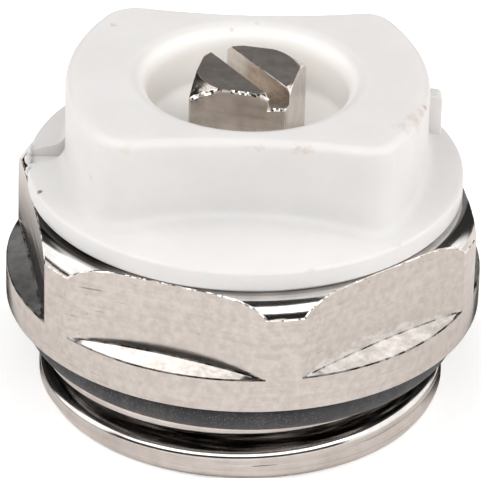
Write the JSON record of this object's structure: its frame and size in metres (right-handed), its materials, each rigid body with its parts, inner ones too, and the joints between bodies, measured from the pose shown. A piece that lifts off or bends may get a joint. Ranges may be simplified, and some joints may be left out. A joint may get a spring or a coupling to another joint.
{
  "type": "radiator bleed valve",
  "caption": "Hexagon radiator vent plug with pipe thread and sealing ring, a square-headed bleed spindle and a swivelling white discharge cap.",
  "frame": {"origin": "centre of the collar's underside, on the plug's axis, where the plug seats on the radiator", "axes": "+Z out of the radiator along the plug's axis, +X along the cap's grip away from the outlet, -Y towards the viewer of the picture"},
  "size_m": [0.0244, 0.0244, 0.0179],
  "materials": {
    "nickel_plated_brass": "nickel plated over fine turning marks, satin to bright",
    "spindle_brass": "dull nickel plate with turning marks and bright burrs",
    "seal_rubber": "matt black nitrile with a little dust",
    "white_plastic": "satin moulded white with small brown specks"
  },
  "bodies": {
    "plug": {"valve_body": "nickel_plated_brass", "collar_o_ring": "seal_rubber"},
    "gland_seal": {"spindle_o_ring": "seal_rubber"},
    "spindle": {"bleed_spindle": "spindle_brass"},
    "cap": {"discharge_cap": "white_plastic"}
  },
  "joints": [
    {"name": "cap_swivel", "type": "hinge", "parent": "plug", "child": "cap", "pos_m": [0, 0, 0.0072], "axis": [0, 0, 1], "continuous": true},
    {"name": "spindle_lift", "type": "slide", "parent": "plug", "child": "gland_seal", "axis": [0, 0, 1], "range_m": [0, 0.00125]},
    {"name": "spindle_turn", "type": "hinge", "parent": "gland_seal", "child": "spindle", "pos_m": [0, 0, 0.006], "axis": [0, 0, 1], "range_deg": [0, 451]}
  ],
  "couplings": [
    {"joint": "spindle_turn", "follows": "spindle_lift", "rad_per_m": 6283.2}
  ]
}
